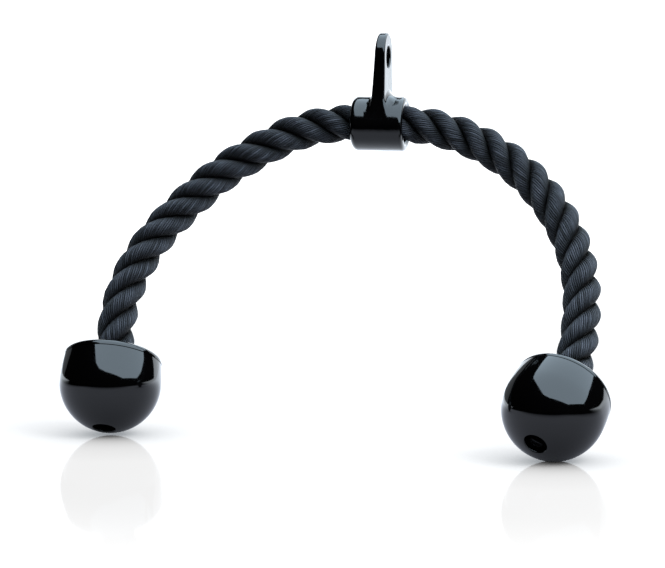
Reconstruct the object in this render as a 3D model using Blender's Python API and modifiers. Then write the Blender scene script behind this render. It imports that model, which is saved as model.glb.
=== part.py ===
"""Triceps rope attachment: a short three-strand rope through a cast bracket, with a knob on each end.

Sizes are in metres. The origin is the centre of the bracket's eye, +X runs along the bracket's
sleeve, -Y is the side that both arms of the rope lean to, and +Z is up. The rope hangs as an arch.
"""

import math

import bmesh
import bpy
import numpy as np
from mathutils import Matrix, Vector

# Fits shared by every piece
TOUCH_GAP = 0.0003
CUT_OVERRUN = 0.002

# Rope
ROPE_DIAMETER = 0.026
ROPE_STEP_SHARE = 0.9
ROPE_RING_RESOLUTION = 3
BEND_UPPER_FROM_MOUTH = 0.064
BEND_LOWER_FROM_MOUTH = 0.189

# Sleeve of the bracket
SLEEVE_LENGTH = 0.039
SLEEVE_WALL = 0.0065
SLEEVE_EDGE = 0.0045
SLEEVE_MOUTH_EDGE = 0.0012
EYE_TO_SLEEVE = 0.0486

# Lug of the bracket, which carries the eye
EYE_DIAMETER = 0.016
EYE_EDGE = 0.001
LUG_WIDTH = 0.029
LUG_TOP_ABOVE_EYE = 0.0173
LUG_RIGHT_FACE = 0.0063
LUG_THICKNESS_TOP = 0.0068
LUG_THICKNESS_FOOT = 0.0097
LUG_EDGE = 0.0015
LUG_ROOT_COVER = 0.001
LUG_CORNER_DROP = 0.0045
FLARE_RIGHT_WIDTH = 0.008
FLARE_RIGHT_HEIGHT = 0.0055
FLARE_LEFT_WIDTH = 0.003
FLARE_LEFT_HEIGHT = 0.0035
FLARE_SINK = 0.0001

# Grub screws that hold the sleeve on the rope, behind the lowest line of the sleeve
SET_SCREW_DIAMETER = 0.006
SET_SCREW_RECESS = 0.0005
SET_SCREW_SOCKET = 0.003
SET_SCREW_SOCKET_DEPTH = 0.0025
SET_SCREW_OFFSET = 0.009
SET_SCREW_ANGLE = math.radians(30)

# Knob: a half ball under a wall that narrows a little, closed by a cap
KNOB_DIAMETER = 0.0732
KNOB_WALL_HEIGHT = 0.0151
KNOB_RIM_INSET = 0.0011
KNOB_SEAM_CHAMFER = 0.0005
CAP_THICKNESS = 0.0044
CAP_EDGE = 0.0038
CAP_HOLE_EDGE = 0.0012
POLE_HOLE_DIAMETER = 0.016
POLE_HOLE_EDGE = 0.0008
LEDGE_THICKNESS = 0.005

# What each knob holds
ROPE_IN_KNOB = 0.034
FERRULE_LENGTH = 0.018
FERRULE_WALL = 0.0035
FERRULE_EDGE = 0.0006
WASHER_THICKNESS = 0.0016
WASHER_SIDE_CLEARANCE = 0.0005
END_SCREW_DIAMETER = 0.006
END_SCREW_LENGTH = 0.026
END_SCREW_TIP = 0.005
END_SCREW_HEAD_DIAMETER = 0.0115
END_SCREW_HEAD_HEIGHT = 0.0034
END_SCREW_HEAD_EDGE = 0.0008
END_SCREW_SOCKET = 0.004
END_SCREW_SOCKET_DEPTH = 0.0022

# Routes of the two arms, from the sleeve's mouth to the top face of the knob's cap
ROUTES = {
    "left": [
        (-0.0410, 0.0000, -0.0505),
        (-0.0630, -0.0010, -0.0565),
        (-0.0830, -0.0040, -0.0660),
        (-0.1020, -0.0080, -0.0770),
        (-0.1200, -0.0140, -0.0900),
        (-0.1350, -0.0210, -0.1040),
        (-0.1490, -0.0310, -0.1190),
        (-0.1610, -0.0420, -0.1350),
        (-0.1700, -0.0536, -0.1525),
        (-0.1754, -0.0656, -0.1710),
        (-0.1771, -0.0773, -0.1900),
        (-0.1763, -0.0896, -0.2112),
    ],
    "right": [
        (0.0425, -0.0010, -0.0512),
        (0.0660, -0.0040, -0.0578),
        (0.0875, -0.0095, -0.0675),
        (0.1070, -0.0170, -0.0798),
        (0.1240, -0.0268, -0.0945),
        (0.1380, -0.0380, -0.1108),
        (0.1490, -0.0510, -0.1280),
        (0.1565, -0.0655, -0.1460),
        (0.1607, -0.0814, -0.1640),
        (0.1620, -0.0978, -0.1821),
        (0.1612, -0.1133, -0.1998),
        (0.1570, -0.1347, -0.2182),
    ],
}
SIDES = {"left": -1, "right": 1}
KNOB_DIRECTIONS = {"left": (-0.005, -0.489, -0.872), "right": (-0.238, -0.780, -0.579)}

# Facets round each turned piece
STEPS_KNOB = 36
STEPS_SLEEVE = 40
STEPS_SMALL = 24
ARC_STEPS = 4
BALL_STEPS = 9

ROPE_RADIUS = ROPE_DIAMETER / 2
BORE_RADIUS = ROPE_RADIUS + TOUCH_GAP
SLEEVE_RADIUS = BORE_RADIUS + SLEEVE_WALL
SLEEVE_CENTRE = Vector((0, 0, -EYE_TO_SLEEVE))
KNOB_RADIUS = KNOB_DIAMETER / 2
RIM_RADIUS = KNOB_RADIUS - KNOB_RIM_INSET
CAP_TOP = KNOB_WALL_HEIGHT + TOUCH_GAP + CAP_THICKNESS
ROPE_END = CAP_TOP - ROPE_IN_KNOB
LEDGE_TOP = ROPE_END - TOUCH_GAP
LEDGE_BOTTOM = LEDGE_TOP - LEDGE_THICKNESS
POLE_HOLE_RADIUS = POLE_HOLE_DIAMETER / 2
FERRULE_RADIUS = BORE_RADIUS + FERRULE_WALL
SCREW_HOLE_RADIUS = END_SCREW_DIAMETER / 2 + TOUCH_GAP


def clear_scene():
    for item in list(bpy.data.objects):
        bpy.data.objects.remove(item, do_unlink=True)


def make_collection(name):
    collection = bpy.data.collections.new(name)
    bpy.context.scene.collection.children.link(collection)
    return collection


def make_material(name, color, roughness, metallic):
    material = bpy.data.materials.new(name)
    material.use_nodes = True
    shader = material.node_tree.nodes["Principled BSDF"]
    shader.inputs["Base Color"].default_value = (*color, 1)
    shader.inputs["Roughness"].default_value = roughness
    shader.inputs["Metallic"].default_value = metallic
    return material


def add_object(name, data, collection, material=None):
    item = bpy.data.objects.new(name, data)
    collection.objects.link(item)
    if material:
        data.materials.append(material)
    return item


def add_cutter(name, data, collection):
    item = add_object(name, data, collection)
    item.hide_render = True
    item.display_type = "WIRE"
    return item


def boolean(target, operand, operation):
    modifier = target.modifiers.new(operand.name, "BOOLEAN")
    modifier.operation = operation
    modifier.object = operand
    modifier.solver = "EXACT"


def arc(centre_radius, centre_height, radius, start, end, count=ARC_STEPS):
    """Points on an arc in the half plane of a turned profile, angles from the outward direction."""
    angles = np.radians(np.linspace(start, end, count + 1))
    return [(centre_radius + radius * math.cos(a), centre_height + radius * math.sin(a)) for a in angles]


def profile_mesh(name, points, closed):
    mesh = bpy.data.meshes.new(name)
    edges = [(i, i + 1) for i in range(len(points) - 1)]
    if closed:
        edges.append((len(points) - 1, 0))
    mesh.from_pydata([(radius, 0, height) for radius, height in points], edges, [])
    return mesh


def turned(name, points, steps, collection, material=None):
    """A turned piece about its local Z axis. A profile that starts and ends on the axis is left open."""
    closed = points[0][0] > 0
    mesh = profile_mesh(name, points, closed)
    item = add_object(name, mesh, collection, material)
    screw = item.modifiers.new("turn", "SCREW")
    screw.axis = "Z"
    screw.steps = steps
    screw.render_steps = steps
    screw.use_merge_vertices = True
    screw.merge_threshold = 0.00001
    screw.use_smooth_shade = True
    return item


def turned_cutter(name, points, steps, collection):
    item = turned(name, points, steps, collection)
    item.hide_render = True
    item.display_type = "WIRE"
    return item


def prism_cutter(name, radius, depth, sides, collection):
    """A straight prism of the given number of sides, centred on its local Z axis."""
    mesh = bpy.data.meshes.new(name)
    shape = bmesh.new()
    bmesh.ops.create_cone(
        shape, cap_ends=True, segments=sides, radius1=radius, radius2=radius, depth=depth
    )
    shape.to_mesh(mesh)
    shape.free()
    return add_cutter(name, mesh, collection)


def box_cutter(name, size, centre, collection):
    mesh = bpy.data.meshes.new(name)
    shape = bmesh.new()
    bmesh.ops.create_cube(shape, size=1)
    bmesh.ops.scale(shape, vec=size, verts=shape.verts)
    bmesh.ops.translate(shape, vec=centre, verts=shape.verts)
    shape.to_mesh(mesh)
    shape.free()
    return add_cutter(name, mesh, collection)


def smooth_route(points, start_direction, end_direction, samples=24):
    """Dense points on the smooth curve through the route's points.

    The curve is a chain of cubic pieces. Its slopes are solved together, so that its curvature never
    jumps, and the slopes at both ends are held to the given directions.
    """
    points = np.array(points, dtype=float)
    spans = np.linalg.norm(np.diff(points, axis=0), axis=1)
    matrix = np.eye(len(points))
    target = np.zeros((len(points), 3))
    target[0] = Vector(start_direction).normalized()
    target[-1] = Vector(end_direction).normalized()
    for i in range(1, len(points) - 1):
        before, after = spans[i - 1], spans[i]
        matrix[i, i - 1:i + 2] = after, 2 * (before + after), before
        rise_before = (points[i] - points[i - 1]) / before
        rise_after = (points[i + 1] - points[i]) / after
        target[i] = 3 * (after * rise_before + before * rise_after)
    slopes = np.linalg.solve(matrix, target)
    dense = [points[0]]
    for i, span in enumerate(spans):
        for t in np.linspace(0, 1, samples + 1)[1:]:
            position = (2 * t**3 - 3 * t**2 + 1) * points[i] + (3 * t**2 - 2 * t**3) * points[i + 1]
            pull = (t**3 - 2 * t**2 + t) * slopes[i] + (t**3 - t**2) * slopes[i + 1]
            dense.append(position + span * pull)
    return np.array(dense)


class RopeLine:
    """The rope's centreline in one arm, measured from the middle of the sleeve to the rope's end."""

    def __init__(self, side):
        outward = SIDES[side]
        mouth = np.array((outward * SLEEVE_LENGTH / 2, 0, -EYE_TO_SLEEVE))
        self.knob_direction = Vector(KNOB_DIRECTIONS[side]).normalized()
        curve = smooth_route([mouth, *ROUTES[side]], (outward, 0, 0), self.knob_direction)
        self.cap_top = Vector(curve[-1])
        end = self.cap_top + self.knob_direction * ROPE_IN_KNOB
        self.points = np.vstack([np.array(SLEEVE_CENTRE), curve, np.array(end)])
        spans = np.linalg.norm(np.diff(self.points, axis=0), axis=1)
        self.distances = np.concatenate([[0], np.cumsum(spans)])
        self.length = self.distances[-1]

    def at(self, distance):
        return Vector([np.interp(distance, self.distances, self.points[:, k]) for k in range(3)])

    def hinge_axis(self):
        """Normal of the arm's own plane, with the turn that closes the arm counted positive."""
        outward = 1 if self.points[-1][0] > 0 else -1
        chord = self.cap_top - self.at(SLEEVE_LENGTH / 2)
        return (Vector((1, 0, 0)).cross(chord) * outward).normalized()


def stretch_distances(start, end):
    """Distances along a stretch, with a short first and last step that square its ends."""
    square = ROPE_RADIUS / 6
    steps = max(2, round((end - start) / (ROPE_DIAMETER * ROPE_STEP_SHARE)))
    inner = np.linspace(start, end, steps + 1)[1:-1]
    return [start, start + square, *inner, end - square, end]


def rope_stretch(name, points, collection, material):
    curve = bpy.data.curves.new(name, "CURVE")
    curve.dimensions = "3D"
    curve.bevel_depth = ROPE_RADIUS
    curve.bevel_resolution = ROPE_RING_RESOLUTION
    curve.use_fill_caps = True
    spline = curve.splines.new("POLY")
    spline.points.add(len(points) - 1)
    for place, point in zip(spline.points, points):
        place.co = (*point, 1)
    return add_object(name, curve, collection, material)


def curve_to_mesh(item, collection, material):
    """Replace a curve object by a mesh object of the same form, with its end caps welded on."""
    name = item.name
    evaluated = item.evaluated_get(bpy.context.evaluated_depsgraph_get())
    mesh = bpy.data.meshes.new_from_object(evaluated)
    shape = bmesh.new()
    shape.from_mesh(mesh)
    bmesh.ops.remove_doubles(shape, verts=shape.verts, dist=0.00001)
    shape.to_mesh(mesh)
    shape.free()
    matrix = item.matrix_world.copy()
    bpy.data.objects.remove(item, do_unlink=True)
    mesh.materials.clear()
    solid = add_object(name, mesh, collection, material)
    solid.matrix_world = matrix
    return solid


def make_lug(collection):
    """The lug's plate: an upright right face, a drafted left face, a round top.

    Its lower corners reach down inside the sleeve's wall, beside the bore.
    """
    half = LUG_WIDTH / 2
    top_centre = LUG_TOP_ABOVE_EYE - half
    foot = SLEEVE_CENTRE.z + BORE_RADIUS + LUG_ROOT_COVER
    corner = foot - LUG_CORNER_DROP
    outline = [
        (half / 2, foot),
        (half, corner),
        *arc(0, top_centre, half, 0, 180, 3 * ARC_STEPS),
        (-half, corner),
        (-half / 2, foot),
    ]
    curve = bpy.data.curves.new("lug_outline", "CURVE")
    curve.dimensions = "2D"
    curve.fill_mode = "BOTH"
    curve.extrude = LUG_THICKNESS_FOOT / 2
    spline = curve.splines.new("POLY")
    spline.points.add(len(outline) - 1)
    for place, (across, up) in zip(spline.points, outline):
        place.co = (across, up, 0, 1)
    spline.use_cyclic_u = True
    flat = add_cutter("lug_plate", curve, collection)
    flat.matrix_world = Matrix(((0, 0, 1, 0), (1, 0, 0, 0), (0, 1, 0, 0), (0, 0, 0, 1)))
    bpy.context.view_layer.update()
    plate = curve_to_mesh(flat, collection, None)
    plate.hide_render = True
    plate.display_type = "WIRE"
    sleeve_top = SLEEVE_CENTRE.z + SLEEVE_RADIUS
    mesh = plate.data
    mesh.transform(plate.matrix_world)
    plate.matrix_world = Matrix.Identity(4)
    for vertex in mesh.vertices:
        share = (vertex.co.z - sleeve_top) / (LUG_TOP_ABOVE_EYE - sleeve_top)
        thickness = LUG_THICKNESS_FOOT + share * (LUG_THICKNESS_TOP - LUG_THICKNESS_FOOT)
        vertex.co.x = LUG_RIGHT_FACE if vertex.co.x > 0 else LUG_RIGHT_FACE - thickness
    bevel = plate.modifiers.new("rounded edges", "BEVEL")
    bevel.width = LUG_EDGE
    bevel.segments = 3
    bevel.limit_method = "ANGLE"
    bevel.angle_limit = math.radians(50)
    return plate


def make_flare(collection):
    """The foot of the lug: two concave flares that run down onto the sleeve, turned about its axis."""
    right = LUG_RIGHT_FACE
    left = LUG_RIGHT_FACE - LUG_THICKNESS_FOOT
    quarter = np.radians(np.linspace(0, 90, 2 * ARC_STEPS + 1))
    low = (BORE_RADIUS + SLEEVE_RADIUS) / 2
    surface = SLEEVE_RADIUS - FLARE_SINK
    points = [(low, right + FLARE_RIGHT_WIDTH)]
    points += [
        (
            surface + FLARE_RIGHT_HEIGHT * (1 - math.sin(a)),
            right + FLARE_RIGHT_WIDTH * (1 - math.cos(a)),
        )
        for a in quarter[::-1]
    ]
    points += [
        (
            surface + FLARE_LEFT_HEIGHT * (1 - math.sin(a)),
            left - FLARE_LEFT_WIDTH * (1 - math.cos(a)),
        )
        for a in quarter
    ]
    points.append((low, left - FLARE_LEFT_WIDTH))
    # The profile runs from the far end of the right flare back to the left one, so it turns outward
    flare = turned_cutter("lug_flare", points, 2 * STEPS_SLEEVE, collection)
    flare.location = SLEEVE_CENTRE
    flare.rotation_euler = (0, math.radians(90), 0)
    width = LUG_WIDTH - 2 * LUG_EDGE
    reach = SLEEVE_RADIUS + FLARE_RIGHT_HEIGHT + CUT_OVERRUN
    size = (SLEEVE_LENGTH, width, reach)
    centre = (0, 0, SLEEVE_CENTRE.z + reach / 2 + low / 2)
    box = box_cutter("lug_flare_limits", size, centre, collection)
    boolean(flare, box, "INTERSECT")
    return flare


def make_bracket(parts, cutters, material):
    """Sleeve, lug and eye in one casting."""
    half = SLEEVE_LENGTH / 2
    outer = SLEEVE_RADIUS
    mouth = SLEEVE_MOUTH_EDGE
    profile = [
        *arc(BORE_RADIUS + mouth, half - mouth, mouth, 180, 90, 3),
        *arc(outer - SLEEVE_EDGE, half - SLEEVE_EDGE, SLEEVE_EDGE, 90, 0),
        *arc(outer - SLEEVE_EDGE, SLEEVE_EDGE - half, SLEEVE_EDGE, 0, -90),
        *arc(BORE_RADIUS + mouth, mouth - half, mouth, -90, -180, 3),
    ]
    bracket = turned("bracket_casting", profile, STEPS_SLEEVE, parts, material)
    bracket.location = SLEEVE_CENTRE
    bracket.rotation_euler = (0, math.radians(90), 0)
    boolean(bracket, make_lug(cutters), "UNION")
    boolean(bracket, make_flare(cutters), "UNION")
    eye_left = LUG_RIGHT_FACE - LUG_THICKNESS_TOP - (
        (LUG_THICKNESS_FOOT - LUG_THICKNESS_TOP)
        * LUG_TOP_ABOVE_EYE
        / (LUG_TOP_ABOVE_EYE + EYE_TO_SLEEVE - SLEEVE_RADIUS)
    )
    radius = EYE_DIAMETER / 2
    flared = radius + EYE_EDGE
    eye_profile = [
        (0, LUG_RIGHT_FACE + CUT_OVERRUN),
        (flared + CUT_OVERRUN, LUG_RIGHT_FACE + CUT_OVERRUN),
        *arc(flared, LUG_RIGHT_FACE - EYE_EDGE, EYE_EDGE, 90, 180, 3),
        *arc(flared, eye_left + EYE_EDGE, EYE_EDGE, 180, 270, 3),
        (flared + CUT_OVERRUN, eye_left - CUT_OVERRUN),
        (0, eye_left - CUT_OVERRUN),
    ]
    eye = turned_cutter("eye_cut", eye_profile, STEPS_SLEEVE, cutters)
    eye.rotation_euler = (0, math.radians(90), 0)
    boolean(bracket, eye, "DIFFERENCE")
    for side, outward in SIDES.items():
        hole_radius = SET_SCREW_DIAMETER / 2 + TOUCH_GAP
        depth = SLEEVE_WALL + 2 * CUT_OVERRUN
        hole = prism_cutter(f"set_screw_hole_{side}", hole_radius, depth, STEPS_SMALL, cutters)
        hole.matrix_world = set_screw_matrix(outward, (BORE_RADIUS + SLEEVE_RADIUS) / 2)
        boolean(bracket, hole, "DIFFERENCE")
    return bracket


def set_screw_matrix(outward, radius):
    """Place a set screw's local Z along the sleeve's radius, at the given distance from its axis."""
    direction = Vector((0, math.sin(SET_SCREW_ANGLE), -math.cos(SET_SCREW_ANGLE)))
    centre = SLEEVE_CENTRE + direction * radius + Vector((outward * SET_SCREW_OFFSET, 0, 0))
    return Matrix.LocRotScale(centre, direction.to_track_quat("Z", "Y"), None)


def make_set_screw(side, parts, cutters, material):
    radius = SET_SCREW_DIAMETER / 2
    length = SLEEVE_WALL - SET_SCREW_RECESS
    chamfer = SET_SCREW_RECESS
    profile = [
        (0, length / 2),
        (radius - chamfer, length / 2),
        (radius, length / 2 - chamfer),
        (radius, chamfer - length / 2),
        (radius - chamfer, -length / 2),
        (0, -length / 2),
    ]
    name = f"set_screw_{side}"
    screw = turned(name, profile, STEPS_SMALL, parts, material)
    place = set_screw_matrix(SIDES[side], BORE_RADIUS + length / 2)
    screw.matrix_world = place
    socket_radius = SET_SCREW_SOCKET / math.sqrt(3)
    depth = SET_SCREW_SOCKET_DEPTH + CUT_OVERRUN
    socket = prism_cutter(f"{name}_socket", socket_radius, depth, 6, cutters)
    lift = length / 2 - SET_SCREW_SOCKET_DEPTH + depth / 2
    socket.matrix_world = place @ Matrix.Translation((0, 0, lift))
    boolean(screw, socket, "DIFFERENCE")
    return screw


def make_knob_body(name, parts, material):
    """Half ball and wall, with a pocket for the ferrule, a bore for the rope and a hole at the pole."""
    chamfer = KNOB_SEAM_CHAMFER
    pocket_radius = FERRULE_RADIUS + TOUCH_GAP
    pocket_floor = KNOB_WALL_HEIGHT - FERRULE_LENGTH - TOUCH_GAP
    wall_heights = np.linspace(KNOB_WALL_HEIGHT - chamfer, 0, 4)
    wall = [
        (KNOB_RADIUS - KNOB_RIM_INSET * (height / KNOB_WALL_HEIGHT) ** 2, height)
        for height in wall_heights[:-1]
    ]
    hole_mouth = POLE_HOLE_RADIUS + POLE_HOLE_EDGE
    pole_angle = -math.degrees(math.acos(hole_mouth / KNOB_RADIUS))
    pole_height = KNOB_RADIUS * math.sin(math.radians(pole_angle))
    profile = [
        (pocket_radius, KNOB_WALL_HEIGHT),
        (RIM_RADIUS - chamfer, KNOB_WALL_HEIGHT),
        *wall,
        *arc(0, 0, KNOB_RADIUS, 0, pole_angle, BALL_STEPS),
        (POLE_HOLE_RADIUS, pole_height + POLE_HOLE_EDGE),
        (POLE_HOLE_RADIUS, LEDGE_BOTTOM),
        (SCREW_HOLE_RADIUS, LEDGE_BOTTOM),
        (SCREW_HOLE_RADIUS, LEDGE_TOP),
        (BORE_RADIUS, LEDGE_TOP),
        (BORE_RADIUS, pocket_floor),
        (pocket_radius, pocket_floor),
    ]
    return turned(name, profile, STEPS_KNOB, parts, material)


def make_knob_cap(name, parts, material):
    """The ring that closes the knob round the rope, with a well rounded outer edge."""
    low = KNOB_WALL_HEIGHT + TOUCH_GAP
    chamfer = KNOB_SEAM_CHAMFER
    edge = min(CAP_EDGE, CAP_THICKNESS - chamfer)
    hole = CAP_HOLE_EDGE
    profile = [
        *arc(BORE_RADIUS + hole, CAP_TOP - hole, hole, 180, 90, 3),
        *arc(RIM_RADIUS - edge, CAP_TOP - edge, edge, 90, 0, ARC_STEPS + 1),
        (RIM_RADIUS - chamfer, low),
        (BORE_RADIUS, low),
    ]
    return turned(name, profile, STEPS_KNOB, parts, material)


def make_ferrule(name, parts, material):
    high = KNOB_WALL_HEIGHT
    low = high - FERRULE_LENGTH
    edge = FERRULE_EDGE
    profile = [
        (BORE_RADIUS, high),
        (FERRULE_RADIUS - edge, high),
        (FERRULE_RADIUS, high - edge),
        (FERRULE_RADIUS, low + edge),
        (FERRULE_RADIUS - edge, low),
        (BORE_RADIUS, low),
    ]
    return turned(name, profile, STEPS_KNOB, parts, material)


def make_end_washer(name, parts, material):
    high = LEDGE_BOTTOM - TOUCH_GAP
    low = high - WASHER_THICKNESS
    outer = POLE_HOLE_RADIUS - WASHER_SIDE_CLEARANCE
    profile = [(SCREW_HOLE_RADIUS, high), (outer, high), (outer, low), (SCREW_HOLE_RADIUS, low)]
    return turned(name, profile, STEPS_SMALL, parts, material)


def make_end_screw(name, frame, parts, cutters, material):
    """Round-headed screw that runs up through the washer and the ledge into the rope's heart."""
    seat = LEDGE_BOTTOM - 2 * TOUCH_GAP - WASHER_THICKNESS
    shank = END_SCREW_DIAMETER / 2
    head = END_SCREW_HEAD_DIAMETER / 2
    low = seat - END_SCREW_HEAD_HEIGHT
    edge = END_SCREW_HEAD_EDGE
    profile = [
        (0, seat + END_SCREW_LENGTH),
        (shank, seat + END_SCREW_LENGTH - END_SCREW_TIP),
        (shank, seat),
        (head, seat),
        (head, low + edge),
        (head - edge, low),
        (0, low),
    ]
    screw = turned(name, profile, STEPS_SMALL, parts, material)
    depth = END_SCREW_SOCKET_DEPTH + CUT_OVERRUN
    socket = prism_cutter(f"{name}_socket", END_SCREW_SOCKET / math.sqrt(3), depth, 6, cutters)
    socket.matrix_world = frame @ Matrix.Translation((0, 0, low + END_SCREW_SOCKET_DEPTH - depth / 2))
    boolean(screw, socket, "DIFFERENCE")
    return screw


def attach(item, parent):
    """Parent an object while it keeps its place in the world."""
    item.parent = parent
    item.matrix_parent_inverse = parent.matrix_world.inverted()


def make_hinge(name, line, distance, collection):
    """An empty on a bend's axis, with its local Z along the axis."""
    empty = add_object(name, None, collection)
    empty.empty_display_size = ROPE_DIAMETER
    axis = line.hinge_axis()
    empty.matrix_world = Matrix.LocRotScale(line.at(distance), axis.to_track_quat("Z", "Y"), None)
    return empty


def make_arm(side, parts, cutters, rope, plastic, steel):
    line = RopeLine(side)
    upper = SLEEVE_LENGTH / 2 + BEND_UPPER_FROM_MOUTH
    lower = SLEEVE_LENGTH / 2 + BEND_LOWER_FROM_MOUTH
    gap = TOUCH_GAP / 2
    upper_stretch = [line.at(d) for d in stretch_distances(upper + gap, lower - gap)]
    lower_stretch = [line.at(d) for d in stretch_distances(lower + gap, line.length)]
    rope_upper = rope_stretch(f"rope_{side}_upper", upper_stretch, parts, rope)
    rope_lower = rope_stretch(f"rope_{side}_lower", lower_stretch, parts, rope)
    bpy.context.view_layer.update()
    rope_lower = curve_to_mesh(rope_lower, parts, rope)

    centre = line.cap_top + line.knob_direction * CAP_TOP
    rotation = (-line.knob_direction).to_track_quat("Z", "Y")
    frame = Matrix.LocRotScale(centre, rotation, None)
    pieces = [
        make_knob_body(f"knob_body_{side}", parts, plastic),
        make_knob_cap(f"knob_cap_{side}", parts, plastic),
        make_ferrule(f"rope_ferrule_{side}", parts, steel),
        make_end_washer(f"end_washer_{side}", parts, steel),
        make_end_screw(f"end_screw_{side}", frame, parts, cutters, steel),
    ]
    for piece in pieces:
        piece.matrix_world = frame

    tip = LEDGE_BOTTOM - 2 * TOUCH_GAP - WASHER_THICKNESS + END_SCREW_LENGTH
    pilot_depth = tip + TOUCH_GAP - ROPE_END + CUT_OVERRUN
    pilot = prism_cutter(f"pilot_{side}", SCREW_HOLE_RADIUS, pilot_depth, STEPS_SMALL, cutters)
    pilot.matrix_world = frame @ Matrix.Translation((0, 0, tip + TOUCH_GAP - pilot_depth / 2))
    boolean(rope_lower, pilot, "DIFFERENCE")

    upper_hinge = make_hinge(f"bend_{side}_upper", line, upper, parts)
    lower_hinge = make_hinge(f"bend_{side}_lower", line, lower, parts)
    bpy.context.view_layer.update()
    attach(lower_hinge, upper_hinge)
    attach(rope_upper, upper_hinge)
    for piece in [rope_lower, *pieces]:
        attach(piece, lower_hinge)
    print(side, "rope from sleeve centre", round(line.length, 4), "axis", tuple(line.hinge_axis()))
    for hinge, distance in ((upper_hinge, upper), (lower_hinge, lower)):
        print(hinge.name, tuple(round(v, 6) for v in line.at(distance)))
    return line


def make_centre_rope(lines, parts, material):
    """The stretch that runs through the sleeve, from one arm's upper bend to the other's."""
    reach = SLEEVE_LENGTH / 2 + BEND_UPPER_FROM_MOUTH - TOUCH_GAP / 2
    mouth = SLEEVE_LENGTH / 2
    halves = {}
    for side, line in lines.items():
        distances = [mouth, *stretch_distances(mouth + ROPE_RADIUS / 6, reach)]
        halves[side] = [line.at(d) for d in distances]
    points = halves["left"][::-1] + halves["right"]
    return rope_stretch("rope_centre", points, parts, material)


def main():
    clear_scene()
    parts = make_collection("triceps_rope_attachment")
    cutters = make_collection("cutters")
    coated = make_material("black coated casting", (0.008, 0.008, 0.010), 0.18, 0.0)
    plastic = make_material("black moulded knob", (0.006, 0.006, 0.008), 0.08, 0.0)
    rope = make_material("charcoal twisted rope", (0.035, 0.040, 0.048), 0.75, 0.0)
    steel = make_material("plated steel", (0.55, 0.56, 0.58), 0.3, 1.0)
    make_bracket(parts, cutters, coated)
    for side in SIDES:
        make_set_screw(side, parts, cutters, steel)
    lines = {side: make_arm(side, parts, cutters, rope, plastic, steel) for side in SIDES}
    make_centre_rope(lines, parts, rope)


main()
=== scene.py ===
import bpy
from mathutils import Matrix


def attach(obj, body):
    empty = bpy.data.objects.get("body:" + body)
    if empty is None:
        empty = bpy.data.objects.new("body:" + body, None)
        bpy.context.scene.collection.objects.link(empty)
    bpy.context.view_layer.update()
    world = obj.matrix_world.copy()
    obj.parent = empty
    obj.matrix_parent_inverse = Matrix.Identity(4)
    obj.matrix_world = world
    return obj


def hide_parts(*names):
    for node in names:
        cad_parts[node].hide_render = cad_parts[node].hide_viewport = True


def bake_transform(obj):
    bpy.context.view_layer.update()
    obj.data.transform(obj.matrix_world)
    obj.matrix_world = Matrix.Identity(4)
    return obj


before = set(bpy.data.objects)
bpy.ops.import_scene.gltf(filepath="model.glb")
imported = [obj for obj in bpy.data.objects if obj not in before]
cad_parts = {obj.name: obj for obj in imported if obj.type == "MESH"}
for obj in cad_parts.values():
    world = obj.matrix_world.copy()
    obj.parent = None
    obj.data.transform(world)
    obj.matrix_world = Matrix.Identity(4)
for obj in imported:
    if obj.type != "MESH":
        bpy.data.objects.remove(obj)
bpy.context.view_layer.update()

import math

import bmesh
import bpy
import numpy as np
from bpy.props import FloatProperty, FloatVectorProperty, IntProperty, PointerProperty
from bpy.types import Operator, Panel, PropertyGroup
from mathutils import Matrix, Vector

bl_info = {
    "name": "Triceps rope attachment",
    "version": (1, 0, 0),
    "blender": (4, 5, 0),
    "location": "3D View > Sidebar > Rope attachment",
    "description": "Dresses a twisted rope with a cast bracket and two knobs, and sets up its studio",
    "category": "Object",
}

# Sizes in metres, in the model's own frame: the origin is the centre of the bracket's eye, +X runs
# along its sleeve, -Y is the side that both arms lean to, and +Z is up.
TOUCH_GAP = 0.0003
ROPE_DIAMETER = 0.026
SLEEVE_LENGTH = 0.039
SLEEVE_WALL = 0.0065
SLEEVE_EDGE = 0.0045
SLEEVE_EDGE_RIGHT = 0.003
SLEEVE_MOUTH_EDGE = 0.0012
SLEEVE_MOUTH_EDGE_RIGHT = 0.003
EYE_TO_SLEEVE = 0.0486
EYE_RADIUS = 0.008
EYE_EDGE = 0.001
LUG_WIDTH = 0.029
LUG_TOP_ABOVE_EYE = 0.0173
LUG_RIGHT_FACE = 0.0063
LUG_THICKNESS_TOP = 0.0068
LUG_THICKNESS_FOOT = 0.0097
LUG_EDGE = 0.0015
LUG_FOOT_ANGLE = math.radians(13)
LUG_FOOT_COVER = 0.001
# A flare's width and height at the lug's foot, and the share of the width down the sleeve's sides
FLARE_RIGHT = (0.008, 0.0055, 0.15)
FLARE_LEFT = (0.003, 0.0035, 2.4)
FLARE_SINK = 0.00003
SET_SCREW_RADIUS = 0.003
SET_SCREW_RECESS = 0.0005
SET_SCREW_SOCKET = 0.003
SET_SCREW_OFFSET = 0.009
SET_SCREW_ANGLE = math.radians(30)
KNOB_RADIUS = 0.0366
KNOB_WALL_HEIGHT = 0.0151
KNOB_RIM_INSET = 0.0011
KNOB_SEAM_CHAMFER = 0.0002
CAP_THICKNESS = 0.0044
CAP_EDGE = 0.0038
CAP_HOLE_EDGE = 0.0012
POLE_HOLE_RADIUS = 0.008
POLE_HOLE_EDGE = 0.0008
LEDGE_THICKNESS = 0.005
ROPE_IN_KNOB = 0.034
FERRULE_LENGTH = 0.018
FERRULE_WALL = 0.0035
WASHER_THICKNESS = 0.0016
WASHER_RADIUS = 0.0075
END_SCREW_RADIUS = 0.003
END_SCREW_LENGTH = 0.026
END_SCREW_TIP = 0.005
END_SCREW_HEAD_RADIUS = 0.00575
END_SCREW_HEAD_HEIGHT = 0.0034
END_SCREW_SOCKET = 0.004
END_SCREW_SOCKET_DEPTH = 0.0022

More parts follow.
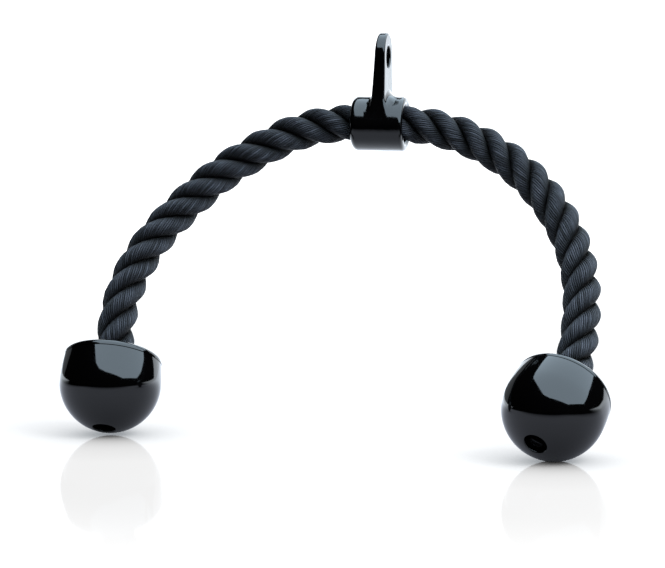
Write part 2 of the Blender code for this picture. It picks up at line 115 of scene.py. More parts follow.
# The rope's route in each arm, from the sleeve's mouth to the top face of the knob's cap
ROUTES = {
    "left": [
        (-0.0410, 0.0000, -0.0505),
        (-0.0630, -0.0010, -0.0565),
        (-0.0830, -0.0040, -0.0660),
        (-0.1020, -0.0080, -0.0770),
        (-0.1200, -0.0140, -0.0900),
        (-0.1350, -0.0210, -0.1040),
        (-0.1490, -0.0310, -0.1190),
        (-0.1610, -0.0420, -0.1350),
        (-0.1700, -0.0536, -0.1525),
        (-0.1754, -0.0656, -0.1710),
        (-0.1771, -0.0773, -0.1900),
        (-0.1763, -0.0896, -0.2112),
    ],
    "right": [
        (0.0425, -0.0010, -0.0512),
        (0.0660, -0.0040, -0.0578),
        (0.0875, -0.0095, -0.0675),
        (0.1070, -0.0170, -0.0798),
        (0.1240, -0.0268, -0.0945),
        (0.1380, -0.0380, -0.1108),
        (0.1490, -0.0510, -0.1280),
        (0.1565, -0.0655, -0.1460),
        (0.1607, -0.0814, -0.1640),
        (0.1620, -0.0978, -0.1821),
        (0.1612, -0.1133, -0.1998),
        (0.1570, -0.1347, -0.2182),
    ],
}
SIDES = {"left": -1, "right": 1}
KNOB_DIRECTIONS = {"left": (-0.005, -0.489, -0.872), "right": (-0.238, -0.780, -0.579)}

# Each arm of the rope is two pieces, because a piece can bend across one joint only. They meet where
# neither joint bends the rope, and the strands run on from one piece to the next. All of these are
# distances from the sleeve's mouth: the meeting place, and where each joint's bend starts and ends.
SPLIT_FROM_MOUTH = 0.140
UPPER_BEND = (0.005, 0.125)
LOWER_BEND = (0.145, 0.235)

STRANDS = 3
STRAND_GAP = 0.0001
ROPE_ROW = 0.0014
ROPE_END_ROW = 0.0001
POINTS_PER_YARN = 6
# Chance in each yarn: how far it may sink, how long its slow waves are, and half their depth
YARN_SINK = 0.00016
YARN_WAVES = (0.018, 0.045)
YARN_WAVE_DEPTH = 0.00005
# Painted shade in the grooves, with crests paler partly from wear: where the lightening starts from
# the rope's middle, over what depth it grows, how steeply, and how much of it a yarn's valley gets
SHADE_AND_WEAR_START = 0.0098
SHADE_AND_WEAR_DEPTH = 0.0032
SHADE_AND_WEAR_POWER = 1.3
VALLEY_SHADE = 0.15
# Where the rope's thickness changes, as (start, length): past the sleeve's mouth, down the arm from
# the sleeve's middle, and before the knob
SWELL_PAST_SLEEVE = (-0.003, 0.010)
SWELL_DOWN_ARM = (0.10, 0.14)
SWELL_BEFORE_KNOB = (0.001, 0.012)

FLOOR_HEIGHT = -0.2663
FLOOR_REACH = 16
# Spans of the floor over which it changes, in metres: to white away from the object, in the gloss
# beside the object and in front of it, and into the backdrop behind it
FLOOR_WHITENS = (0.45, 1.0)
FLOOR_BESIDE = (0.60, 0.38)
FLOOR_IN_FRONT = (-0.65, -0.33)
FLOOR_BEHIND = (-0.14, 0.35)
FLOOR_FAR_LIFT = 1.6
FLOOR_BLUR = 0.05
# How far right the gloss's patch of floor is moved to be in the middle, and how near the object the floor
# gets painted contact shadow
GLOSS_SHIFT = 0.05
CONTACT_SHADE_REACH = 0.09
CAMERA_PLACE = (0.5884, -2.9336, 0.2019)
CAMERA_TURN = math.radians(12)
CAMERA_TILT = math.radians(7)
CAMERA_LENS = 224.34
# Lamps: place of the middle, direction across, direction up. They shine along -(across x up).
SOFTBOX = ((-0.738, -0.992, 2.817), (-0.408, 0.851, 0.331), (-0.616, -0.525, 0.588))
SIDE_LAMP = ((1.49, -0.79, 1.41), (0.47, 0.88, 0), (-0.567, 0.303, 0.766))
BACKDROP = ((2.3, 9.0, 2.6), (-1, 0, 0), (0, 0, 1))
BACKDROP_WING = ((-12.3, 9.0, 2.6), (-1, 0, 0), (0, 0, 1))
# The softbox's outline about its centre: its far edge hangs lower, with one corner cut off
SOFTBOX_OUTLINE = (
    (2.7, -3.45), (-1.7, -3.5), (-2.8, -2.3), (-3.3, 1.0), (-3.0, 3.3), (-0.5, 3.5), (3.0, 3.45),
)

WHITE = (1, 1, 1)
DAYLIGHT = (0.80, 1.0, 1.17)
COOL_WHITE = (0.92, 1.0, 1.08)
SKY_WHITE = (0.94, 1, 1.06)
FLOOR_IN_GLOSS = (0.65, 0.70, 0.82)
# Each lamp's name, the setting of its brightness, its frame, size and colour, and what it is hidden from
LAMPS = (
    ("softbox_light", "key_light", SOFTBOX, (5.39, 6.9), WHITE, "visible_glossy"),
    ("side_light", "side_light", SIDE_LAMP, (1.2, 1.2), WHITE, "visible_glossy"),
    ("backdrop_shine", "backdrop_shine", BACKDROP, (15.2, 5.8), COOL_WHITE, "visible_diffuse"),
    ("wing_shine", "wing_shine", BACKDROP_WING, (14.0, 5.8), COOL_WHITE, "visible_diffuse"),
)
# Most of a noise texture's values lie in this range
NOISE_SPAN = (0.3, 0.7)

BORE_RADIUS = ROPE_DIAMETER / 2 + TOUCH_GAP
SLEEVE_RADIUS = BORE_RADIUS + SLEEVE_WALL
SLEEVE_CENTRE = np.array((0, 0, -EYE_TO_SLEEVE))
RIM_RADIUS = KNOB_RADIUS - KNOB_RIM_INSET
CAP_TOP = KNOB_WALL_HEIGHT + TOUCH_GAP + CAP_THICKNESS
LEDGE_TOP = CAP_TOP - ROPE_IN_KNOB - TOUCH_GAP
LEDGE_BOTTOM = LEDGE_TOP - LEDGE_THICKNESS
SCREW_HOLE_RADIUS = END_SCREW_RADIUS + TOUCH_GAP


def linear(hex_colour):
    """An sRGB hex colour as linear red, green, blue and alpha."""
    channels = np.array([int(hex_colour[i:i + 2], 16) for i in (1, 3, 5)]) / 255
    steep = ((channels + 0.055) / 1.055) ** 2.4
    return (*np.where(channels <= 0.04045, channels / 12.92, steep).tolist(), 1.0)


def number_setting(name, description, default, high, low=0, **kind):
    """A setting that is a number between two limits."""
    return FloatProperty(
        name=name, description=description, default=default, min=low, max=high, **kind,
    )


def colour_setting(name, description, hex_colour):
    """A setting that is a colour."""
    return FloatVectorProperty(
        name=name, description=description, default=linear(hex_colour),
        subtype="COLOR", size=4, min=0, max=1,
    )


class RopeSettings(PropertyGroup):
    lay_left: number_setting(
        "Left lay", "Length in which a strand goes once round, left arm",
        0.0659, 0.2, 0.03, unit="LENGTH",
    )
    lay_right: number_setting(
        "Right lay", "Length in which a strand goes once round, right arm",
        0.0647, 0.2, 0.03, unit="LENGTH",
    )
    crest_radius: number_setting(
        "Crest radius", "Radius of a strand's outer side, seen across the rope",
        0.0079, 0.012, 0.006, unit="LENGTH",
    )
    groove_radius: number_setting(
        "Groove radius", "Rounding of a strand's corners, which opens the grooves",
        0.0029, 0.004, 0.001, unit="LENGTH",
    )
    yarns: IntProperty(
        name="Yarns", description="Yarns round each strand", default=27, min=12, max=60,
    )
    yarn_relief: number_setting(
        "Yarn relief", "Depth of the valley between two yarns", 0.0007, 0.001, unit="LENGTH",
    )
    yarn_lean: number_setting(
        "Yarn lean", "Angle of the crest's yarns past the rope's own direction",
        math.radians(7), 0.6, -0.6, subtype="ANGLE",
    )
    turn_left: number_setting(
        "Left turn", "Turn of the strands at the sleeve's middle, left arm",
        math.radians(13.6), math.pi, -math.pi, subtype="ANGLE",
    )
    turn_right: number_setting(
        "Right turn", "Turn of the strands at the sleeve's middle, right arm",
        math.radians(-11), math.pi, -math.pi, subtype="ANGLE",
    )
    swell: number_setting(
        "Swell", "How much thicker the rope is near its knobs than in the sleeve",
        0.07, 0.2, subtype="FACTOR",
    )
    colour: colour_setting("Yarn colour", "Colour of the dyed yarn", "#282c33")


class KnobSettings(PropertyGroup):
    colour: colour_setting("Knob colour", "Colour of the moulded plastic", "#030304")
    steps: IntProperty(
        name="Steps", description="Steps round each turned surface", default=144, min=36, max=256,
    )


class BracketSettings(PropertyGroup):
    colour: colour_setting("Coating colour", "Colour of the bracket's gloss coating", "#040405")
    steel_colour: colour_setting("Steel colour", "Colour of the plated screws and washers", "#b4b8bd")


class StudioSettings(PropertyGroup):
    floor_colour: colour_setting("Floor colour", "Colour of the plain floor", "#404040")
    floor_shade: colour_setting("Floor shade", "Matt share of the floor as the camera sees it", "#7b7b7b")
    floor_lift: number_setting(
        "Floor lift", "How much the camera sees the floor lifted towards white", 0.84, 1,
    )
    floor_mirror: number_setting(
        "Floor mirror", "Share of the mirror image in the floor, as the camera sees it",
        0.12, 1, subtype="FACTOR",
    )
    key_shine: number_setting("Softbox shine", "Brightness of the softbox as gloss reflects it", 3.8, 20)
    key_light: number_setting(
        "Softbox light", "Brightness of the softbox as matt surfaces receive it", 0.19, 20,
    )
    side_light: number_setting(
        "Side light", "Brightness of the side lamp as matt surfaces receive it", 13.5, 50,
    )
    backdrop_shine: number_setting(
        "Backdrop shine", "Brightness of the backdrop as gloss reflects it", 2.2, 20,
    )
    wing_shine: number_setting(
        "Wing shine", "Brightness of the backdrop's dim left wing, in gloss", 0.25, 20,
    )
    sky_light: number_setting("Sky light", "Even light that reaches matt surfaces from all round", 0.04, 2)
    sky_shine: number_setting("Sky shine", "Brightness of the dark studio as gloss reflects it", 0.006, 2)


def unit(vectors):
    """Vectors along the last axis, each divided by its length."""
    vectors = np.asarray(vectors, dtype=float)
    return vectors / np.linalg.norm(vectors, axis=-1, keepdims=True)


def stacked(*parts):
    """Arrays of one shape as the components along a new last axis."""
    return np.stack(parts, axis=-1)


def add_node(tree, kind, settings=None, inputs=None, links=None):
    """Add a node with its own settings and socket values, and link other nodes' outputs into it.

    A link comes from a node's first output, or from (node, output).
    """
    node = tree.nodes.new(kind)
    for name, value in (settings or {}).items():
        setattr(node, name, value)
    for name, value in (inputs or {}).items():
        node.inputs[name].default_value = value
    for name, source in (links or {}).items():
        origin, output = source if isinstance(source, tuple) else (source, 0)
        tree.links.new(origin.outputs[output], node.inputs[name])
    return node


def add_noise(tree, place, scale, detail, roughness=0.5, dimensions="3D"):
    return add_node(
        tree, "ShaderNodeTexNoise", {"noise_dimensions": dimensions},
        {"Scale": scale, "Detail": detail, "Roughness": roughness}, {"Vector": place},
    )


def add_range(tree, source, low, high, span=NOISE_SPAN, smooth=False):
    """A value whose span is stretched over low to high, and held there."""
    return add_node(
        tree, "ShaderNodeMapRange", {"interpolation_type": "SMOOTHSTEP" if smooth else "LINEAR"},
        {"From Min": span[0], "From Max": span[1], "To Min": low, "To Max": high}, {"Value": source},
    )


def add_product(tree, first, second):
    return add_node(tree, "ShaderNodeMath", {"operation": "MULTIPLY"}, links={0: first, 1: second})


def add_bump(tree, height, strength, distance, over=None):
    """A bump whose height of 1 stands for the distance, on its own or over another bump."""
    links = {"Height": height} if over is None else {"Height": height, "Normal": over}
    return add_node(
        tree, "ShaderNodeBump", None, {"Strength": strength, "Distance": distance}, links,
    )


def add_glow(tree, colour, strength):
    return add_node(
        tree, "ShaderNodeEmission", None, {"Color": (*colour, 1)}, {"Strength": strength},
    )


def pick_by_ray(tree, ray, others, this):
    """One shader for a kind of ray, and another for all other rays."""
    path = add_node(tree, "ShaderNodeLightPath")
    return add_node(tree, "ShaderNodeMixShader", links={"Fac": (path, ray), 1: others, 2: this})


def finish_surface(tree, shader, colour, tint, gloss, bump, levels):
    """Give a shader its colour times the tint, its roughness, its bump and its fixed levels."""
    tinted = add_node(
        tree, "ShaderNodeVectorMath", {"operation": "SCALE"}, {0: tuple(colour)[:3]}, {"Scale": tint},
    )
    for source, name in ((tinted, "Base Color"), (gloss, "Roughness"), (bump, "Normal")):
        tree.links.new(source.outputs[0], shader.inputs[name])
    for name, level in levels.items():
        shader.inputs[name].default_value = level


def new_material(name):
    material = bpy.data.materials.new(name)
    material.use_nodes = True
    return material, material.node_tree, material.node_tree.nodes["Principled BSDF"]


def new_mesh(name, patches, crease=40):
    """One mesh from grids of points, each with an array of rows by columns.

    Four neighbours in a grid make a face, and its front is the side from which the columns run
    anticlockwise about the direction of the rows. Columns and rows may close into loops, and an
    open row's loop may be closed by a fan about its middle point. Edges sharper than the crease
    angle are shaded sharp.
    """
    places, faces, corners, shades = [], [], [], []
    base = 0
    for patch in patches:
        points = patch["points"]
        rows, columns = points.shape[:2]
        index = base + np.arange(rows * columns).reshape(rows, columns)
        loop = index if patch.get("open_columns") else np.hstack([index, index[:, :1]])
        if patch.get("loop_rows"):
            loop = np.vstack([loop, loop[:1]])
        around = (loop[:-1, :-1], loop[:-1, 1:], loop[1:, 1:], loop[1:, :-1])
        faces += stacked(*around).reshape(-1, 4).tolist()
        uv = patch.get("uv", np.zeros((*loop.shape, 2)))
        around = (uv[:-1, :-1], uv[:-1, 1:], uv[1:, 1:], uv[1:, :-1])
        corners.append(np.stack(around, axis=2).reshape(-1, 2))
        places.append(points.reshape(-1, 3))
        shades.append(patch.get("shade", np.zeros((rows, columns))).ravel())
        base += rows * columns
        ends = ((index[0], points[0], 1), (index[-1], points[-1], -1))
        for ring, row, way in ends if patch.get("capped") else ():
            pair = (np.roll(ring, -1), ring)[::way]
            faces += stacked(np.full(columns, base), *pair).tolist()
            places.append(row.mean(axis=0, keepdims=True))
            shades.append(np.zeros(1))
            corners.append(np.zeros((3 * columns, 2)))
            base += 1
    mesh = bpy.data.meshes.new(name)
    mesh.from_pydata(np.vstack(places).tolist(), [], faces)
    layer = mesh.uv_layers.new(name="UVMap")
    layer.data.foreach_set("uv", np.vstack(corners).ravel().astype(np.float32))
    shade = mesh.attributes.new("crest", "FLOAT", "POINT")
    shade.data.foreach_set("value", np.concatenate(shades).astype(np.float32))
    mesh.polygons.foreach_set("use_smooth", np.ones(len(mesh.polygons), dtype=bool))
    mesh.update()
    mesh.set_sharp_from_angle(angle=math.radians(crease))
    return mesh


def add_object(name, data):
    """An object in the scene, at the origin."""
    thing = bpy.data.objects.new(name, data)
    bpy.context.scene.collection.objects.link(thing)
    return thing


def add_piece(name, mesh, material, body=None, nodes=()):
    """Show a finished mesh as a piece that stands for CAD nodes and moves with a body."""
    piece = add_object(name, mesh)
    mesh.materials.clear()
    mesh.materials.append(material)
    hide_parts(*nodes)
    if body:
        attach(piece, body)
    return piece


def rounded(corners, closed=False, steps=6):
    """A profile whose corners (radius, height, rounding) are arcs that touch both of their sides.

    An arc's middle stands at rounding / sin(half the corner's angle) from the corner, on the
    line that halves the angle. A point a little way along each side keeps the flats flat.
    """
    corners = np.array(corners, dtype=float)
    points, roundings = corners[:, :2], corners[:, 2]
    if not closed:
        roundings[[0, -1]] = 0
    sides = np.stack([np.roll(points, 1, axis=0), np.roll(points, -1, axis=0)], axis=1)
    sides -= points[:, None]
    ways = unit(sides)
    halves = np.arccos(np.clip(np.sum(ways[:, 0] * ways[:, 1], axis=1), -1, 1)) / 2
    reach = np.divide(roundings, np.tan(halves), out=np.zeros(len(points)), where=roundings > 0)
    taken = reach[:, None] + np.stack([np.roll(reach, 1), np.roll(reach, -1)], axis=1)
    spare = np.linalg.norm(sides, axis=-1) - taken
    share = np.linspace(0, 1, steps + 1)[:, None]
    rows = []
    for i, rounding in enumerate(roundings):
        if rounding == 0:
            rows.append(points[i][None])
            continue
        flat = np.minimum(rounding / 4, 0.4 * spare[i])
        middle = points[i] + unit(ways[i].sum(axis=0)) * rounding / math.sin(halves[i])
        first, last = points[i] + ways[i] * reach[i]
        turn = math.pi - 2 * halves[i]
        weights = np.sin((1 - share) * turn), np.sin(share * turn)
        bow = (weights[0] * (first - middle) + weights[1] * (last - middle)) / math.sin(turn)
        first, last = first + ways[i][0] * flat[0], last + ways[i][1] * flat[1]
        rows.append(np.vstack([first, middle + bow, last]))
    return np.vstack(rows)


def turned(profile, steps, place, sides=None):
    """Grid of a profile (radius, height) that runs down the outside, turned about the local Z axis.

    Where sides gives 1 for a row, that row is a hexagon and its radius reaches the middle of a
    side: radius / cos(angle from the side's middle). Where it gives 0, the row is a circle.
    """
    angles = -np.linspace(0, 2 * math.pi, steps, endpoint=False)
    hexagon = 1 / np.cos(np.mod(angles, math.pi / 3) - math.pi / 6)
    share = np.zeros(len(profile)) if sides is None else np.asarray(sides, dtype=float)
    reach = profile[:, 0, None] * (1 + share[:, None] * (hexagon - 1))
    heights = np.broadcast_to(profile[:, 1, None], reach.shape)
    local = stacked(reach * np.cos(angles), reach * np.sin(angles), heights)
    matrix = np.array(place)
    return local @ matrix[:3, :3].T + matrix[:3, 3]


# Rope


def smooth_route(points, start, end, samples=24):
    """Dense points on a chain of cubics through the route's points.

    The slopes are solved together, so the curvature never jumps, and the end slopes are given.
    """
    spans = np.linalg.norm(np.diff(points, axis=0), axis=1)
    rises = np.diff(points, axis=0) / spans[:, None]
    before, after = spans[:-1], spans[1:]
    matrix = np.eye(len(points))
    inner = np.arange(1, len(points) - 1)
    matrix[inner, inner - 1] = after
    matrix[inner, inner] = 2 * (before + after)
    matrix[inner, inner + 1] = before
    pull = 3 * (after[:, None] * rises[:-1] + before[:, None] * rises[1:])
    slopes = np.linalg.solve(matrix, np.vstack([start, pull, end]))
    t = (np.arange(samples) / samples)[None, :, None]
    reach = spans[:, None, None]
    curve = (2 * t**3 - 3 * t**2 + 1) * points[:-1, None] + (3 * t**2 - 2 * t**3) * points[1:, None]
    curve = curve + reach * (t**3 - 2 * t**2 + t) * slopes[:-1, None]
    curve = curve + reach * (t**3 - t**2) * slopes[1:, None]
    return np.vstack([curve.reshape(-1, 3), points[-1]])


class RopeLine:
    """Centreline of one arm, measured from the sleeve's middle to the rope's end in the knob."""

    def __init__(self, side):
        outward = SIDES[side]
        mouth = np.array((outward * SLEEVE_LENGTH / 2, 0, -EYE_TO_SLEEVE))
        self.knob_direction = unit(KNOB_DIRECTIONS[side])
        curve = smooth_route(np.vstack([mouth, ROUTES[side]]), (outward, 0, 0), self.knob_direction)
        self.cap_top = curve[-1]
        start = SLEEVE_CENTRE + np.linspace(0, 1, 20)[:-1, None] * (mouth - SLEEVE_CENTRE)
        inside = np.linspace(0, ROPE_IN_KNOB, 40)[1:, None] * self.knob_direction
        self.points = np.vstack([start, curve, self.cap_top + inside])
        spans = np.linalg.norm(np.diff(self.points, axis=0), axis=1)
        self.distances = np.concatenate([[0], np.cumsum(spans)])
        self.length = self.distances[-1]
        self.tangents = unit(np.gradient(self.points, self.distances, axis=0))
        self.normal = unit(np.cross((1, 0, 0), self.cap_top - mouth) * outward)

    def between(self, distances, values):
        """Values known at the line's own points, at other distances along it."""
        return stacked(*(np.interp(distances, self.distances, values[:, k]) for k in range(3)))

    def at(self, distances):
        return self.between(distances, self.points)

    def frames(self, distances):
        """Points on the line, with two directions across it: one in the arm's plane, one out of it."""
        along = unit(self.between(distances, self.tangents))
        in_plane = unit(np.cross(self.normal, along))
        return self.at(distances), in_plane, np.cross(along, in_plane)

    def swell(self, distances, amount):
        """Thickness along the rope: 1 where the sleeve and the knob grip it, 1 + amount between.

        Four fifths of the amount come at the sleeve's mouth, and the rest grows down the arm.
        """
        grip = self.length - ROPE_IN_KNOB - SWELL_BEFORE_KNOB[0]
        shares = np.stack([
            (distances - SLEEVE_LENGTH / 2 - SWELL_PAST_SLEEVE[0]) / SWELL_PAST_SLEEVE[1],
            (distances - SWELL_DOWN_ARM[0]) / SWELL_DOWN_ARM[1],
            (grip - distances) / SWELL_BEFORE_KNOB[1],
        ]).clip(0, 1)
        at_sleeve, down_arm, at_knob = shares**2 * (3 - 2 * shares)
        return 1 + amount * (4 * at_sleeve + down_arm) / 5 * at_knob

    def knob_frame(self):
        """Place of the knob: its ball's centre, with local Z towards the rope."""
        centre = Vector(self.cap_top + self.knob_direction * CAP_TOP)
        return Matrix.LocRotScale(centre, Vector(-self.knob_direction).to_track_quat("Z", "Y"), None)


def strand_section(settings, count=2400):
    """Outline of one strand across the rope: places and outward normals evenly along it, and its length.

    A strand fills a third of the rope. Its outer side is an arc of the crest radius, its two
    inner sides lie on its neighbours, and its corners are arcs of the groove radius, so that a
    corner's middle stands one groove radius inside both of the sides that it joins.
    """
    crest, corner = settings.crest_radius, settings.groove_radius
    middle = np.array((ROPE_DIAMETER / 2 - crest, 0))
    side = math.pi / STRANDS
    along = np.array((math.cos(side), math.sin(side)))
    inset = corner + STRAND_GAP / 2
    foot = inset * np.array((math.sin(side), -math.cos(side)))
    lean = (foot - middle) @ along
    reach = math.sqrt(lean**2 - (foot - middle) @ (foot - middle) + (crest - corner) ** 2) - lean
    outer = foot + reach * along
    heart = np.array((inset / math.sin(side), 0))
    turn = math.atan2(outer[1], outer[0] - middle[0])
    flat = side + math.pi / 2

    def bow(centre, radius, start, end):
        angles = np.linspace(start, end, 240)
        return centre + radius * stacked(np.cos(angles), np.sin(angles))

    around = 2 * math.pi
    outline = np.vstack([
        bow(middle, crest, -turn, turn),
        bow(outer, corner, turn, flat),
        bow(heart, corner, flat, around - flat),
        bow(outer * (1, -1), corner, around - flat, around - turn),
    ])
    looped = np.vstack([outline, outline[:1]])
    travelled = np.concatenate([[0], np.cumsum(np.linalg.norm(np.diff(looped, axis=0), axis=1))])
    share = np.linspace(0, travelled[-1], count, endpoint=False)
    places = stacked(*(np.interp(share, travelled, looped[:, k]) for k in (0, 1)))
    slopes = unit(np.roll(places, -1, axis=0) - np.roll(places, 1, axis=0))
    return places, stacked(slopes[:, 1], -slopes[:, 0]), travelled[-1]


def rope_piece_mesh(name, line, turn, lay, start, end, settings):
    """Mesh of the three strands between two distances along the rope.

    Each strand's outline turns once about the centreline in a lay length. The yarns run the other
    way round the strand, so that on the crest they lean a little past the rope's own direction,
    and the grid's columns follow them. A yarn stands proud of its valleys as a half ellipse:
    relief * sqrt(1 - (2 * share - 1)^2), where share goes from one valley to the next.
    """
    places, normals, perimeter = strand_section(settings)
    inner = np.linspace(start, end, round((end - start) / ROPE_ROW) + 1)[1:-1]
    ends = (start, start + ROPE_END_ROW), (end - ROPE_END_ROW, end)
    distances = np.concatenate([ends[0], inner, ends[1]])
    centre, in_plane, across = line.frames(distances)
    yarn = np.arange(settings.yarns * POINTS_PER_YARN) / POINTS_PER_YARN
    number = np.floor(yarn).astype(int)
    share = yarn - number
    ridge = np.sqrt(1 - (2 * share - 1) ** 2)
    swing = 2 * math.pi / lay
    drift = -(swing * ROPE_DIAMETER / 2 + math.tan(settings.yarn_lean)) / perimeter
    patches = []
    for strand in range(STRANDS):
        chance = np.random.default_rng(40 + strand)
        sunk = chance.uniform(0, YARN_SINK, settings.yarns)[number]
        wave = 2 * math.pi / chance.uniform(*YARN_WAVES, settings.yarns)[number]
        start_of_wave = chance.uniform(0, 2 * math.pi, settings.yarns)[number]
        part = np.mod(yarn / settings.yarns + drift * distances[:, None], 1) * len(places)
        low = np.floor(part).astype(int) % len(places)
        mix = (part - np.floor(part))[..., None]
        high = (low + 1) % len(places)
        place = places[low] * (1 - mix) + places[high] * mix
        normal = normals[low] * (1 - mix) + normals[high] * mix
        depth = settings.yarn_relief * (1 - ridge) + sunk
        depth = depth + YARN_WAVE_DEPTH * (1 + np.sin(wave * distances[:, None] + start_of_wave))
        place = place - normal * depth[..., None]
        outward = np.hypot(place[..., 0], place[..., 1])
        # Painted shade: darker towards the rope's middle, in the grooves, and in each yarn's valley; paler
        # crests, partly from wear
        crest = np.clip((outward - SHADE_AND_WEAR_START) / SHADE_AND_WEAR_DEPTH, 0, 1) ** SHADE_AND_WEAR_POWER
        crest = crest * (VALLEY_SHADE + (1 - VALLEY_SHADE) * ridge)
        place = place * line.swell(distances, settings.swell)[:, None, None]
        angle = (turn + swing * distances + 2 * math.pi * strand / STRANDS)[:, None]
        right = place[..., 0] * np.cos(angle) - place[..., 1] * np.sin(angle)
        up = place[..., 0] * np.sin(angle) + place[..., 1] * np.cos(angle)
        points = (
            centre[:, None] + right[..., None] * in_plane[:, None] + up[..., None] * across[:, None]
        )
        steps = np.append(yarn, settings.yarns) + settings.yarns * strand
        uv = stacked(*np.broadcast_arrays(steps[None], distances[:, None] * 1000))
        patches.append({"points": points, "uv": uv, "shade": crest, "capped": True})
    return new_mesh(name, patches, crease=62)


def rope_material(settings):
    """Nylon multifilament, spun into yarns and laid in three strands.

    Dyed fibre is dull, with a soft shine across the fibres. Each yarn's tone differs a little at
    random, and the brightest yarns and filaments are painted glints. The grooves and the valleys
    between yarns are darkened as painted shade, and the crests are paler, partly from wear.
    """
    material, tree, shader = new_material("laid_nylon_rope")
    uv = add_node(tree, "ShaderNodeUVMap", {"uv_map": "UVMap"})
    parts = add_node(tree, "ShaderNodeSeparateXYZ", links={"Vector": uv})
    yarn = add_node(tree, "ShaderNodeMath", {"operation": "FLOOR"}, links={0: (parts, "X")})
    tone = add_node(tree, "ShaderNodeTexWhiteNoise", {"noise_dimensions": "1D"}, links={"W": yarn})
    # Filaments: 0.3 mm wide and 12 mm long, drawn coarser than real ones so that they show
    grain = add_node(
        tree, "ShaderNodeMapping", {"vector_type": "POINT"}, {"Scale": (4.5, 0.08, 1)}, {"Vector": uv},
    )
    filaments = add_noise(tree, grain, 1.0, 3.0, 0.6, "2D")
    place = add_node(tree, "ShaderNodeTexCoord")
    patches = add_noise(tree, (place, "Object"), 90.0, 3.0, 0.55)
    # Painted shade from the crest attribute: grooves and yarn valleys nearly black, crests paler, partly
    # from wear
    crest = add_node(tree, "ShaderNodeAttribute", {"attribute_name": "crest"})
    # Random tone between yarns and filaments, stretched so that the brightest are painted glints
    yarn_tone_and_glints = add_range(tree, (tone, "Value"), 0.35, 1.8, (0, 1))
    fibre_tone_and_glints = add_range(tree, filaments, 0.1, 2.9)
    patch_tone = add_range(tree, patches, 0.85, 1.15)
    shade_and_wear_tone = add_range(tree, (crest, "Fac"), 0.02, 1.35, (0, 1))
    tint = add_product(
        tree, add_product(tree, yarn_tone_and_glints, fibre_tone_and_glints), add_product(tree, patch_tone, shade_and_wear_tone),
    )
    gloss = add_range(tree, filaments, 0.42, 0.62)
    bump = add_bump(tree, filaments, 0.8, 0.0003)
    finish_surface(tree, shader, settings.colour, tint, gloss, bump, {
        "IOR": 1.5, "Specular IOR Level": 0.2, "Sheen Weight": 0.04, "Sheen Roughness": 0.4,
    })
    return material


def plastic_material(settings):
    """ABS, moulded in a polished tool: deep black, a mirror-like gloss, and a faint pull near walls."""
    material, tree, shader = new_material("moulded_gloss_abs")
    place = add_node(tree, "ShaderNodeTexCoord")
    # Flow marks about 20 mm long, and a polish that changes over some 8 mm
    flow = add_noise(tree, (place, "Object"), 45.0, 1.0, 0.4)
    polish = add_noise(tree, (place, "Object"), 120.0, 4.0, 0.6)
    tint, gloss = add_range(tree, polish, 0.9, 1.1), add_range(tree, polish, 0.045, 0.085)
    bump = add_bump(tree, flow, 0.12, 0.0006)
    finish_surface(tree, shader, settings.colour, tint, gloss, bump, {"IOR": 1.52})
    return material


def coating_material(settings):
    """Cast iron, ground and stoved with gloss enamel: black, glossy, with a slight orange peel."""
    material, tree, shader = new_material("stoved_gloss_enamel")
    place = add_node(tree, "ShaderNodeTexCoord")
    # The casting's own swells are about 9 mm apart, and the orange peel of the enamel 1.5 mm
    swell = add_noise(tree, (place, "Object"), 110.0, 1.0)
    peel = add_noise(tree, (place, "Object"), 650.0, 1.0)
    tint, gloss = add_range(tree, peel, 0.85, 1.15), add_range(tree, swell, 0.08, 0.13)
    bump = add_bump(tree, peel, 0.10, 0.0002, over=add_bump(tree, swell, 0.25, 0.0006))
    finish_surface(tree, shader, settings.colour, tint, gloss, bump, {"IOR": 1.5})
    return material


def steel_material(settings):
    """Steel with bright zinc plating: pale metal, softly blurred, with fine marks of handling."""
    material, tree, shader = new_material("zinc_plated_steel")
    place = add_node(tree, "ShaderNodeTexCoord")
    # Blotches of the plating about 2 mm across
    blotch = add_noise(tree, (place, "Object"), 500.0, 4.0, 0.65)
    tint, gloss = add_range(tree, blotch, 0.88, 1.05), add_range(tree, blotch, 0.22, 0.42)
    bump = add_bump(tree, blotch, 0.15, 0.0001)
    finish_surface(tree, shader, settings.steel_colour, tint, gloss, bump, {"Metallic": 1.0})
    return material


def plated_steel(context):
    """The steel of every screw and washer, made the first time that it is asked for."""
    made = bpy.data.materials.get("zinc_plated_steel")
    return made or steel_material(context.scene.triceps_bracket)


class ROPE_OT_camera(Operator):
    """Make the camera at the photograph's viewing angle"""

    bl_idname = "triceps_rope.camera"
    bl_label = "Camera"

    def execute(self, context):
        data = bpy.data.cameras.new("camera")
        data.lens = CAMERA_LENS
        data.sensor_width = 36
        data.clip_start = 0.1
        data.clip_end = 100
        camera = add_object("camera", data)
        turn = Matrix.Rotation(CAMERA_TURN, 4, "Z") @ Matrix.Rotation(math.pi / 2 - CAMERA_TILT, 4, "X")
        camera.matrix_world = Matrix.Translation(CAMERA_PLACE) @ turn
        context.scene.camera = camera
        return {"FINISHED"}


